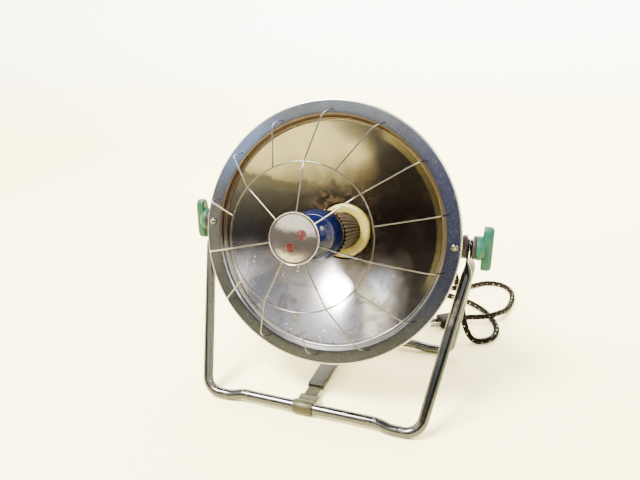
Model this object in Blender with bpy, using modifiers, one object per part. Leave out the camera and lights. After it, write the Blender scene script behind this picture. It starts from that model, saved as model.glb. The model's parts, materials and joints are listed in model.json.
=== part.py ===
"""A tilting heat lamp on a folding tube stand, as an assembly of separate solids.

The reflector dish turns about a cross axis between two U-shaped tube frames, which hang on the same
axis and are held apart on the floor by a sliding spreader. Metres, +Z up, the lamp looks along -Y.
The origin is on the floor, in the middle of the lamp and its stand.
"""

import math

import bmesh
import bpy
from mathutils import Vector

# ---- driving dimensions ----
GAP = 0.0003  # the clearance between pieces that touch

PIVOT_HEIGHT = 0.191
PIVOT_Y = 0.0134  # puts the origin in the middle of the whole, front to back
TILT = math.radians(14.7)  # the beam's rise above the horizontal at rest

# the dish, measured from the front band's face along the beam (forward is positive)
FACE_AHEAD = 0.0306  # from the pivot axis to the band's face
BAND_OUTER = 0.150
BAND_INNER = 0.134
BAND_SKIRT = 0.008
SHEET = 0.001  # spun sheet thickness
SCREW_AT = 0.1425  # the side screws hold band, bowl and bracket together
SCREW_HOLE = 0.0023
BOWL_RIM = 0.1290
BOWL_RIM_DEPTH = 0.0105
BOWL_HOLE = 0.0362
BOWL_APEX = 0.0799  # depth at which the parabola would meet the beam axis
FOCAL_LENGTH = 0.060

COLLAR_OUTER = 0.034
COLLAR_INNER = 0.0215
COLLAR_FRONT = 0.0705
COLLAR_BACK = 0.0840

BULB_RADIUS = 0.0285
BULB_CENTRE = 0.034  # ahead of the band's face
BULB_NOSE = 0.031  # from the widest place to the tip
NECK_RADIUS = 0.0128
NECK_DEPTH = 0.078
SLEEVE_MOUTH = 0.0278
SLEEVE_ROOT = 0.0206

COVER_RADIUS = 0.0475
COVER_FRONT = 0.0716
COVER_VENTS = 6
COVER_BACK = 0.1290
ENTRY_DEPTH = 0.108  # how far behind the band's face the cord goes in
CORD_START = 0.078  # the end of the cord's bush, out from the beam axis
HOLDER_BACK = 0.1115

# the wire guard
WIRE = 0.0010
GUARD_WIRES = 14
FIRST_WIRE = math.radians(14.2)
WIRE_FOOT = 0.1382
WIRE_BEND = 0.1285
WIRE_BEND_AHEAD = 0.038
RING_RADIUS = 0.0749
RING_AHEAD = 0.0826
DISC_RADIUS = 0.0262
DISC_AHEAD = 0.0985

# the pivots, measured outward from the middle plane
ARM_INNER = 0.1462
ARM_OUTER = 0.1480
FRONT_EYE = 0.1549
REAR_EYE = 0.1580
EYE_HALF = 0.0014
EYE_RADIUS = 0.0096
BOLT = 0.0039
HOLE = 0.0044
HUB_START = 0.1636
HUB_END = 0.1694
WING_END = 0.1806

# the stand
TUBE = 0.006
FOOT_FLAT = 0.0004  # worn off the tube where it stands on the floor
FRAME_REACH = 0.0934
TOP_HALF = 0.1616
FRONT_HALF = 0.1276
REAR_HALF = 0.1373
CORNER = 0.020
BAR_RISE = 0.004
RISE_RUN = 0.022
FOOT_LENGTH = 0.028  # from the corner to where the bar starts to rise
LEAN = math.atan(FRAME_REACH / (PIVOT_HEIGHT - TUBE + FOOT_FLAT))
LEG = math.hypot(FRAME_REACH, PIVOT_HEIGHT - TUBE + FOOT_FLAT)

# the spreader
SPREADER_X = -0.005
STRAP_WIDTH = 0.023
TONGUE_WIDTH = 0.0158
STRAP_THICK = 0.0016
CHANNEL_WIDTH = 0.0196
CHANNEL_WALL = 0.0012

# the cord
CORD = 0.0040
FLOOR_LINE = 0.0043  # the height of the cord's middle where it lies on the floor
OVER = 0.0128  # and where it lies across itself
COIL_MIDDLE = (-0.012, 0.205)
COIL_RADIUS = 0.042
COIL_HALF = 0.0082
PLUG_MIDDLE = (0.124, 0.178)
PLUG_HEADING = math.radians(217)
PLUG_HEIGHT = 0.0086
PLUG_TAIL = 0.018  # from the plug's middle to the end of its neck

PALETTE = {  # base colour, roughness, metallic
    "chrome": ((0.62, 0.63, 0.64), 0.18, 1.0),
    "band_chrome": ((0.40, 0.43, 0.48), 0.35, 1.0),
    "mirror": ((0.72, 0.71, 0.68), 0.06, 1.0),
    "steel": ((0.45, 0.44, 0.42), 0.40, 1.0),
    "zinc": ((0.50, 0.50, 0.44), 0.50, 1.0),
    "brass": ((0.60, 0.45, 0.18), 0.35, 1.0),
    "porcelain": ((0.80, 0.68, 0.36), 0.25, 0.0),
    "sleeve": ((0.16, 0.07, 0.04), 0.80, 0.0),
    "blue_glass": ((0.02, 0.04, 0.35), 0.05, 0.0),
    "green_plastic": ((0.10, 0.38, 0.28), 0.35, 0.0),
    "fibre": ((0.05, 0.03, 0.03), 0.70, 0.0),
    "bakelite": ((0.05, 0.03, 0.025), 0.30, 0.0),
    "braid": ((0.08, 0.05, 0.035), 0.90, 0.0),
    "tungsten": ((0.30, 0.30, 0.32), 0.40, 1.0),
}


# ---- scene and helpers ----
def clear_scene():
    for old in list(bpy.data.objects):
        bpy.data.objects.remove(old, do_unlink=True)


def collection(name):
    made = bpy.data.collections.new(name)
    bpy.context.scene.collection.children.link(made)
    return made


clear_scene()
MODEL = collection("heat_lamp")
CUTTERS = collection("cutters")


def material(name):
    if name in bpy.data.materials:
        return bpy.data.materials[name]
    colour, roughness, metallic = PALETTE[name]
    made = bpy.data.materials.new(name)
    made.use_nodes = True
    shader = made.node_tree.nodes["Principled BSDF"]
    shader.inputs["Base Color"].default_value = (*colour, 1.0)
    shader.inputs["Roughness"].default_value = roughness
    shader.inputs["Metallic"].default_value = metallic
    return made


def empty(name, location, rotation=(0, 0, 0), parent=None):
    made = bpy.data.objects.new(name, None)
    made.location = location
    made.rotation_euler = rotation
    made.parent = parent
    MODEL.objects.link(made)
    return made


def place(name, data, finish, parent=None, location=(0, 0, 0), rotation=(0, 0, 0)):
    """A new object of the model, or of the cutters when it has no finish."""
    made = bpy.data.objects.new(name, data)
    made.parent = parent
    made.location = location
    made.rotation_euler = rotation
    (MODEL if finish else CUTTERS).objects.link(made)
    if finish:
        data.materials.append(material(finish))
    else:
        made.hide_render = True
        made.display_type = "WIRE"
    return made


def shade(mesh, angle=35):
    mesh.shade_smooth()
    mesh.set_sharp_from_angle(angle=math.radians(angle))


def turned(name, profile, finish, segments=24, closed=True, **where):
    """A solid turned about its own Z. The profile runs down its outer side, then up its inner side."""
    mesh = bpy.data.meshes.new(name)
    count = len(profile)
    edges = [(i, i + 1) for i in range(count - 1)] + ([(count - 1, 0)] if closed else [])
    mesh.from_pydata([(r, 0, z) for r, z in profile], edges, [])
    made = place(name, mesh, finish, **where)
    screw = made.modifiers.new("turn", "SCREW")
    screw.axis = "Z"
    screw.steps = screw.render_steps = segments
    screw.use_merge_vertices = True
    screw.merge_threshold = 0.000001
    screw.use_smooth_shade = True
    return made


def ring_profile(inner, outer, low, high):
    return [(outer, high), (outer, low), (inner, low), (inner, high)]


def block(name, size, finish, bevel=0.0, **where):
    mesh = bpy.data.meshes.new(name)
    bm = bmesh.new()
    bmesh.ops.create_cube(bm, size=1.0)
    bmesh.ops.scale(bm, vec=size, verts=bm.verts)
    bm.to_mesh(mesh)
    bm.free()
    made = place(name, mesh, finish, **where)
    if bevel:
        rounded = made.modifiers.new("bevel", "BEVEL")
        rounded.width = bevel
        rounded.segments = 2
    return made


def wire(name, points, radius, finish, resolution=1, cyclic=False, **where):
    curve = bpy.data.curves.new(name, "CURVE")
    curve.dimensions = "3D"
    curve.bevel_depth = radius
    curve.bevel_resolution = resolution
    curve.use_fill_caps = True
    spline = curve.splines.new("POLY")
    spline.points.add(len(points) - 1)
    for point, co in zip(spline.points, points):
        point.co = (*co, 1.0)
    spline.use_cyclic_u = cyclic
    return place(name, curve, finish, **where)


def as_mesh(made):
    """The curve object again as a closed mesh object with the same name and place."""
    bpy.context.view_layer.update()
    mesh = bpy.data.meshes.new_from_object(made.evaluated_get(bpy.context.evaluated_depsgraph_get()))
    bm = bmesh.new()
    bm.from_mesh(mesh)
    bmesh.ops.remove_doubles(bm, verts=bm.verts, dist=0.00001)
    bmesh.ops.recalc_face_normals(bm, faces=bm.faces)
    bm.to_mesh(mesh)
    bm.free()
    name = made.name
    fresh = bpy.data.objects.new(name, mesh)
    fresh.parent = made.parent
    fresh.location = made.location
    fresh.rotation_euler = made.rotation_euler
    bpy.data.objects.remove(made, do_unlink=True)
    fresh.name = name
    MODEL.objects.link(fresh)
    return fresh


def boolean(target, tool, operation="DIFFERENCE"):
    cut = target.modifiers.new(operation.lower(), "BOOLEAN")
    cut.operation = operation
    cut.solver = "EXACT"
    cut.object = tool


def drill(target, radius, low, high, segments=12, **where):
    """Cuts a round hole about the tool's own Z, from low to high."""
    tool = turned(target.name + "_drill", [(0, high), (radius, high), (radius, low), (0, low)],
                  None, segments=segments, closed=False, **where)
    boolean(target, tool)


def smooth_route(points, step):
    """Points about a step apart on a Catmull-Rom curve through the given points."""
    points = [Vector(p) for p in points]
    points = [2 * points[0] - points[1], *points, 2 * points[-1] - points[-2]]
    fine = []
    for before, a, b, after in zip(points, points[1:], points[2:], points[3:]):
        for k in range(24):
            t = k / 24
            fine.append(0.5 * (2 * a + t * (b - before) + t * t * (2 * before - 5 * a + 4 * b - after)
                               + t ** 3 * (3 * a - before - 3 * b + after)))
    fine.append(points[-2])
    along = [0.0]
    for a, b in zip(fine, fine[1:]):
        along.append(along[-1] + (b - a).length)
    count = max(2, round(along[-1] / step))
    route, place_in = [], 0
    for k in range(count + 1):
        want = along[-1] * k / count
        while place_in < len(fine) - 2 and along[place_in + 1] < want:
            place_in += 1
        span = along[place_in + 1] - along[place_in]
        route.append(fine[place_in].lerp(fine[place_in + 1], (want - along[place_in]) / span))
    return route


def arc(middle_r, middle_z, radius, start, end, steps):
    """Points of an arc in a turned profile, in degrees from the +r direction."""
    angles = [math.radians(start + (end - start) * k / steps) for k in range(steps + 1)]
    return [(middle_r + radius * math.cos(a), middle_z + radius * math.sin(a)) for a in angles]


# ---- the places that move ----
ALONG_X = (0, math.pi / 2, 0)
pivot = empty("pivot", (0, PIVOT_Y, PIVOT_HEIGHT))
head = empty("head", (0, 0, 0), (math.pi / 2 - TILT, 0, 0), pivot)  # its +Z is the beam, its +Y is up
dish = empty("dish", (0, 0, FACE_AHEAD), parent=head)  # on the band's face
front_plane = empty("front_plane", (0, 0, 0), (-LEAN, 0, 0), pivot)
rear_plane = empty("rear_plane", (0, 0, 0), (LEAN, 0, 0), pivot)
ground = empty("ground", (0, PIVOT_Y, 0))  # on the floor below the pivot


# ---- the dish ----
def bowl_radius(depth):
    return math.sqrt(4 * FOCAL_LENGTH * (BOWL_APEX - depth))


def build_reflector():
    steps = 6
    depths = []
    for k in range(steps + 1):  # evenly spaced in radius, from the rim to the hole
        radius = BOWL_RIM + (BOWL_HOLE - BOWL_RIM) * k / steps
        depths.append(BOWL_APEX - radius ** 2 / (4 * FOCAL_LENGTH))
    inner = [(bowl_radius(d), -d) for d in depths]
    outer = [(bowl_radius(d) + SHEET * 1.15, -d - SHEET * 0.6) for d in depths]
    wall = BAND_INNER - 0.001
    flange = BAND_OUTER - 0.0042
    front = [(flange, -0.0020), (flange, -0.0030), (wall + SHEET, -0.0030), (wall + SHEET, -0.0102)]
    bead = [(BOWL_RIM + 0.0008, -0.0090), (BOWL_RIM + 0.0022, -0.0084), (wall, -0.0092)]
    profile = front + outer + inner[::-1] + bead + [(wall, -0.0032), (wall + 0.0012, -0.0020)]
    bowl = turned("reflector_bowl", profile, "mirror", segments=40, parent=dish)
    for side in (-1, 1):
        drill(bowl, SCREW_HOLE, -0.006, 0.004, segments=8, location=(side * SCREW_AT, 0, 0), parent=dish)


def build_band():
    inner, outer = BAND_INNER, BAND_OUTER
    profile = [
        (outer - 0.0012, 0), (outer, -0.0012), (outer, -BAND_SKIRT + 0.0008), (outer - 0.0005, -BAND_SKIRT),
        (outer - SHEET, -BAND_SKIRT), (outer - SHEET, -0.0016), (outer - SHEET - 0.0006, -SHEET),
        (inner + 0.0004, -SHEET), (inner, -0.0006), (inner + 0.0004, 0),
    ]
    band = turned("front_band", profile, "band_chrome", segments=48, parent=dish)
    for k in range(GUARD_WIRES):
        angle = FIRST_WIRE + k * math.tau / GUARD_WIRES
        spot = (WIRE_FOOT * math.cos(angle), WIRE_FOOT * math.sin(angle), 0)
        drill(band, WIRE + 0.0006, -0.0030, 0.0010, segments=6, location=spot, parent=dish)
    for side in (-1, 1):
        drill(band, SCREW_HOLE, -0.004, 0.004, segments=8, location=(side * SCREW_AT, 0, 0), parent=dish)


def build_guard():
    for k in range(GUARD_WIRES):
        angle = FIRST_WIRE + k * math.tau / GUARD_WIRES
        across, up = math.cos(angle), math.sin(angle)
        # long wires reach the disc; short ones stop at the ring
        long = k % 2 == 1
        foot, bend = Vector((WIRE_FOOT, -0.0018)), Vector((WIRE_BEND, WIRE_BEND_AHEAD))
        ring = Vector((RING_RADIUS + (0 if long else 1.4 * WIRE), RING_AHEAD + (2.3 * WIRE if long else 0)))
        path = [foot, foot + Vector((-0.0002, 0.0068))]
        rise, run = (path[1] - bend).normalized(), (ring - bend).normalized()
        before, after = bend + 0.011 * rise, bend + 0.011 * run
        path += [before.lerp(bend, t).lerp(bend.lerp(after, t), t) for t in (0, 0.25, 0.5, 0.75, 1)]
        path.append(ring)
        if long:
            path.append(Vector((DISC_RADIUS - 0.004, DISC_AHEAD - 2.0 * WIRE)))
        number = k // 2 + 1
        name = f"guard_long_wire_{number}" if long else f"guard_short_wire_{number}"
        wire(name, [(r * across, r * up, z) for r, z in path], WIRE, "chrome", parent=dish)
    steps = 42
    circle = [(RING_RADIUS * math.cos(k * math.tau / steps), RING_RADIUS * math.sin(k * math.tau / steps),
               RING_AHEAD) for k in range(steps)]
    wire("guard_ring", circle, WIRE, "chrome", cyclic=True, parent=dish)
    high, low = DISC_AHEAD + 0.0034, DISC_AHEAD - WIRE * 0.4
    profile = [(0, high), (DISC_RADIUS * 0.45, high - 0.0006), (DISC_RADIUS * 0.8, high - 0.0022),
               (DISC_RADIUS, low + 0.0006), (DISC_RADIUS, low), (0, low)]
    turned("guard_disc", profile, "chrome", segments=32, closed=False, parent=dish)


def build_heat_source():
    front, back = -COLLAR_FRONT, -COLLAR_BACK
    profile = arc(COLLAR_OUTER - 0.0045, front - 0.0045, 0.0045, 90, 0, 3)
    profile += [(COLLAR_OUTER, back), (COLLAR_INNER, back)]
    profile += arc(COLLAR_INNER + 0.003, front - 0.003, 0.003, 180, 90, 2)
    turned("porcelain_collar", profile, "porcelain", segments=28, parent=dish)

    # a flared sleeve round the bulb's neck
    root, mouth = (SLEEVE_ROOT, -0.0765), (SLEEVE_MOUTH, 0.010)
    thick = 0.0014
    turned("neck_sleeve", [mouth, root, (root[0] - thick, root[1]), (mouth[0] - thick, mouth[1])],
           "sleeve", segments=28, parent=dish)

    # the bulb is a thin glass shell, open at the neck where the cap goes on
    outline = []
    for k in range(6):
        a = math.radians(90 - 18 * k)
        outline.append((BULB_RADIUS * math.cos(a), BULB_CENTRE + BULB_NOSE * math.sin(a)))
    outline += [(0.0266, 0.016), (0.0228, -0.010), (0.0180, -0.040), (0.0142, -0.066)]
    outline.append((NECK_RADIUS, -NECK_DEPTH))
    glass = 0.0009
    inside = []
    for r, z in outline:
        near_nose = r < BULB_RADIUS * 0.9 and z > 0.04
        inside.append((max(0.0, r - glass), z - glass if near_nose else z))
    turned("bulb_glass", outline + inside[::-1], "blue_glass", segments=20, closed=False, parent=dish)
    cap = [(0.0131, -0.0783), (0.0131, -0.1005), (0.0065, -0.1045), (0.0065, -0.1055)]
    cap = [(0, -0.0783)] + cap + [(0, -0.1055)]
    turned("bulb_cap", cap, "brass", segments=20, closed=False, parent=dish)
    stem = [(0, 0.006), (0.0025, 0.004), (0.0030, -0.040), (0.0090, -0.0700), (0, -0.0700)]
    turned("filament_stem", stem, "porcelain", segments=10, closed=False, parent=dish)
    angles = [math.radians(-150 + 37.5 * k) for k in range(9)]
    arch = [(0.0095 * math.cos(a), 0.0095 * math.sin(a), 0.030) for a in angles]
    wire("filament", arch, 0.0005, "tungsten", parent=dish)

    holder = [(0.0330, -0.0845), (0.0330, -0.0910), (0.0225, -0.0910), (0.0225, -HOLDER_BACK),
              (0.0030, -HOLDER_BACK), (0.0030, -0.1068), (0.0150, -0.1068), (0.0150, -0.0845)]
    body = turned("lampholder_body", holder, "porcelain", segments=24, parent=dish)
    for side in (-1, 1):
        drill(body, 0.0019, -0.118, -0.100, segments=8, location=(0, side * 0.0185, 0), parent=dish)
    shell = [(0.0146, -0.0795), (0.0146, -0.1000), (0.0136, -0.1000), (0.0136, -0.0795)]
    turned("lampholder_screw_shell", shell, "brass", segments=20, parent=dish)
    contact = [(0, -0.1058), (0.0026, -0.1058), (0.0026, -0.1135), (0, -0.1135)]
    turned("lampholder_centre_contact", contact, "brass", segments=8, closed=False, parent=dish)
    for name, side in (("terminal_screw_live", 1), ("terminal_screw_neutral", -1)):
        top = -HOLDER_BACK - GAP
        post = [(0, top), (0.0034, top), (0.0034, top - 0.0028), (0, top - 0.0028)]
        turned(name, post, "brass", segments=10, closed=False, parent=dish, location=(side * 0.011, 0, 0))


def build_rear_cover():
    outer, front, back = COVER_RADIUS, -COVER_FRONT, -COVER_BACK
    profile = [(outer + 0.0020, front - 0.0006), (outer + 0.0020, front - 0.0016), (outer, front - 0.0022)]
    bend = 0.010
    profile += arc(outer - bend, back + bend, bend, 0, -90, 4)
    profile += [(0, back), (0, back + SHEET)]
    profile += arc(outer - bend, back + bend, bend - SHEET, -90, 0, 4)
    profile += [(outer - SHEET, front - 0.0022), (outer - SHEET + 0.0012, front - 0.0006)]
    cover = turned("rear_cover", profile, "steel", segments=36, parent=dish)
    drill(cover, 0.0062, 0.036, 0.060, segments=12, rotation=ALONG_X,
          location=(0, 0, -ENTRY_DEPTH), parent=dish)
    for k in range(COVER_VENTS):
        angle = (k + 0.4) * math.tau / COVER_VENTS
        drill(cover, 0.0034, 0.040, 0.052, segments=8, rotation=(0, math.pi / 2, angle),
              location=(0, 0, -0.084), parent=dish)
    for side in (-1, 1):
        drill(cover, 0.0022, -0.135, -0.120, segments=8, location=(0, side * 0.0185, 0), parent=dish)
    for name, side in (("cover_screw_upper", 1), ("cover_screw_lower", -1)):
        head_face = back - GAP
        screw = [(0, head_face - 0.0024), (0.0022, head_face - 0.0022), (0.0036, head_face - 0.0012),
                 (0.0036, head_face), (0.0015, head_face), (0.0015, -0.1015), (0, -0.1015)]
        turned(name, screw[::-1], "steel", segments=10, closed=False, parent=dish,
               location=(0, side * 0.0185, 0))


def build_cord_entry():
    """The tapered bush on the cover's side, and the two cores between it and the terminals."""
    where = dict(rotation=ALONG_X, location=(0, 0, -ENTRY_DEPTH), parent=dish)
    bush = [(0.0052, CORD_START), (0.0056, 0.0700), (0.0068, 0.0560), (0.0084, 0.0510), (0.0084, 0.0482),
            (0.0056, 0.0482), (0.0056, 0.0460), (0.0076, 0.0445), (0.0076, 0.0420), (0.0040, 0.0420),
            (0.0040, CORD_START)]
    turned("cord_bush", bush, "fibre", segments=16, **where)
    for name, side in (("core_live", 1), ("core_neutral", -1)):
        path = [(0.0470, side * 0.0016, -0.1080), (0.0400, side * 0.0020, -0.1085),
                (0.0330, side * 0.0065, -0.1140), (0.0250, side * 0.0100, -0.1200),
                (side * 0.011 + 0.0040, side * 0.0060, -0.1215), (side * 0.011, 0, -0.1190),
                (side * 0.011, 0, -0.1153)]
        wire(name, smooth_route(path, 0.004), 0.0010, "braid", parent=dish)


def build_pivot(side, word):
    """Bracket, bolt, washers and knob at one end of the cross axis."""
    turn = (0, side * math.pi / 2, 0)
    wide, thick = 0.020, ARM_OUTER - ARM_INNER
    front, back = FACE_AHEAD - 0.0035, -0.012
    arm = block(f"pivot_bracket_{word}", (thick, wide, front - back), "steel", parent=head,
                location=(side * (ARM_INNER + ARM_OUTER) / 2, 0, (front + back) / 2))
    flange = block(f"bracket_flange_{word}", (0.0105, wide, 0.0016), None, parent=head,
                   location=(side * (ARM_OUTER - 0.0105 / 2), 0, front - 0.0008))
    boolean(arm, flange, "UNION")
    drill(arm, SCREW_HOLE, front - 0.004, front + 0.004, segments=8,
          location=(side * SCREW_AT, 0, 0), parent=head)
    drill(arm, HOLE, 0.140, 0.152, segments=14, rotation=turn, parent=head)

    screw = [(0, 0.0030), (0.0022, 0.0027), (0.0040, 0.0014), (0.0044, GAP), (0.0016, GAP), (0.0016, -0.0092),
             (0, -0.0092)]
    turned(f"band_screw_{word}", screw, "chrome", segments=12, closed=False, parent=dish,
           location=(side * SCREW_AT, 0, 0))

    # the bolt's Z runs outward, so its head is at the low end
    bolt = [(0, 0.1745), (BOLT, 0.1745), (BOLT, ARM_INNER - GAP), (0.0088, ARM_INNER - GAP), (0.0086, 0.1440),
            (0.0050, 0.1420), (0, 0.1414)]
    turned(f"pivot_bolt_{word}", bolt, "steel", segments=14, closed=False, parent=head, rotation=turn)
    washers = [
        ("inner_washer", 0.0130, ARM_OUTER + GAP, FRONT_EYE - EYE_HALF - GAP, "fibre"),
        ("outer_washer", 0.0130, REAR_EYE + EYE_HALF + GAP, HUB_START - GAP, "fibre"),
    ]
    for name, radius, low, high, finish in washers:
        turned(f"{name}_{word}", ring_profile(HOLE, radius, low, high), finish, segments=20,
               parent=pivot, rotation=turn)

    hub = [(0, HUB_END + 0.004), (0.0105, HUB_END + 0.004), (0.0135, HUB_END - 0.0005),
           (0.0135, HUB_START), (0, HUB_START)]
    knob = turned(f"knob_{word}", hub, "green_plastic", segments=24, closed=False, parent=pivot,
                  rotation=turn)
    wing = block(f"knob_wing_{word}", (0.050, 0.0150, WING_END - HUB_END), None, bevel=0.0048, parent=pivot,
                 rotation=turn, location=(side * (HUB_END + WING_END) / 2, 0, 0))
    boolean(knob, wing, "UNION")
    drill(knob, 0.0068, HUB_START - 0.004, 0.1765, segments=14, rotation=turn, parent=pivot)
    turned(f"knob_insert_{word}", ring_profile(BOLT + 0.0003, 0.0064, HUB_START + 0.0004, 0.1755), "brass",
           segments=14, parent=pivot, rotation=turn)


# ---- the stand ----
def fillet(before, corner, after, radius, steps):
    """Points of a rounded corner in a plane."""
    a, b = (before - corner).normalized(), (after - corner).normalized()
    half = math.acos(max(-1.0, min(1.0, a.dot(b)))) / 2
    reach = radius / math.tan(half)
    middle = corner + (a + b).normalized() * radius / math.sin(half)
    start, end = (corner + a * reach - middle).normalized(), (corner + b * reach - middle).normalized()
    return [middle + radius * start.slerp(end, k / steps) for k in range(steps + 1)]


def build_frame(name, half_foot, eye_at, plane):
    """A U of tube, its ends pressed flat round the pivot holes, its corners standing on the floor."""
    def half_at(below):
        return TOP_HALF + (half_foot - TOP_HALF) * below / LEG

    press = [-0.0090, -0.0050, 0.0, 0.0050, 0.0100, 0.0150, 0.0200, 0.0260, 0.0340]
    leg = [Vector((half_at(s), 0, -s)) for s in press]
    corner = Vector((half_foot, 0, -LEG))
    flat_end = Vector((half_foot - FOOT_LENGTH, 0, -LEG))
    half = leg + fillet(leg[-1], corner, flat_end, CORNER, 5)
    for t in (0, 0.25, 0.5, 0.75, 1):
        half.append(flat_end + Vector((-RISE_RUN * t, 0, BAR_RISE * t * t * (3 - 2 * t))))
    path = half + [Vector((-p.x, 0, p.z)) for p in reversed(half)]
    frame = as_mesh(wire(name, path, TUBE, "chrome", resolution=3, parent=plane))
    for v in frame.data.vertices:
        side, below = math.copysign(1, v.co.x), -v.co.z
        if below > press[-1]:
            continue
        t = min(1.0, (press[-1] - below) / (press[-1] - 0.0120))
        flat = t * t * (3 - 2 * t)
        off = abs(v.co.x) - half_at(below)
        pressed = eye_at + off * EYE_HALF / TUBE
        v.co.x = side * (abs(v.co.x) * (1 - flat) + pressed * flat)
        wide = EYE_RADIUS * math.sqrt(max(0.12, 1 - (min(below, 0) / EYE_RADIUS) ** 2))
        v.co.y *= (1 - flat) + flat * wide / TUBE

    # the corners are worn flat where they meet the floor
    bpy.context.view_layer.update()
    world = plane.matrix_world.inverted()
    bm = bmesh.new()
    bm.from_mesh(frame.data)
    down = (world.to_3x3() @ Vector((0, 0, -1))).normalized()
    everything = bm.verts[:] + bm.edges[:] + bm.faces[:]
    bmesh.ops.bisect_plane(bm, geom=everything, dist=0.000001, plane_co=world @ Vector((0, 0, 0)),
                           plane_no=down, clear_outer=True)
    bmesh.ops.holes_fill(bm, edges=[e for e in bm.edges if e.is_boundary])
    bm.to_mesh(frame.data)
    bm.free()
    shade(frame.data)
    for side in (-1, 1):
        drill(frame, HOLE, 0.145, 0.170, segments=14, rotation=(0, side * math.pi / 2, 0), parent=plane)
    return frame


def build_spreader():
    """A strap hinged on the front bar, which slides in a channel hinged on the rear bar."""
    reach = LEG - BAR_RISE
    height = PIVOT_HEIGHT - reach * math.cos(LEAN)
    front, rear = PIVOT_Y - reach * math.sin(LEAN), PIVOT_Y + reach * math.sin(LEAN)
    inner, outer = TUBE + 0.0004, TUBE + 0.0018
    half = STRAP_WIDTH / 2
    strap = turned("spreader_strap", ring_profile(inner, outer, -half, half), "zinc", segments=20,
                   rotation=ALONG_X, location=(SPREADER_X, front, height))
    leaf_start, leaf_end, tongue_end = front + inner + 0.0006, front + 0.024, front + 0.086
    leaf = block("strap_leaf", (STRAP_WIDTH, leaf_end - leaf_start, STRAP_THICK), None,
                 location=(SPREADER_X, (leaf_start + leaf_end) / 2, height))
    tongue = block("strap_tongue", (TONGUE_WIDTH, tongue_end - leaf_end + 0.002, STRAP_THICK), None,
                   location=(SPREADER_X, (tongue_end + leaf_end) / 2, height))
    boolean(strap, leaf, "UNION")
    boolean(strap, tongue, "UNION")

    start, end = front + 0.042, rear - inner - 0.0006
    half_in, tall = CHANNEL_WIDTH / 2 - CHANNEL_WALL, 0.0018
    half_out, top, lip = CHANNEL_WIDTH / 2, tall + CHANNEL_WALL, CHANNEL_WIDTH / 2 - 0.0045
    right = [(half_out, top), (half_out, -top), (lip, -top), (lip, -tall), (half_in, -tall), (half_in, tall)]
    outline = [(-half_out, top)] + right + [(-x, y) for x, y in right[:0:-1]]
    mesh = bpy.data.meshes.new("channel_section")
    bm = bmesh.new()
    face = bm.faces.new([bm.verts.new((x, start - rear, z)) for x, z in outline])
    grown = bmesh.ops.extrude_face_region(bm, geom=[face])
    moved = [v for v in grown["geom"] if isinstance(v, bmesh.types.BMVert)]
    bmesh.ops.translate(bm, verts=moved, vec=(0, end - start, 0))
    bmesh.ops.recalc_face_normals(bm, faces=bm.faces)
    bm.to_mesh(mesh)
    bm.free()
    channel = place("spreader_channel", mesh, "steel", location=(SPREADER_X, rear, height))
    knuckle = turned("channel_knuckle", ring_profile(inner, outer, -half_out, half_out), None, segments=20,
                     rotation=ALONG_X, location=(SPREADER_X, rear, height))
    boolean(channel, knuckle, "UNION")


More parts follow.
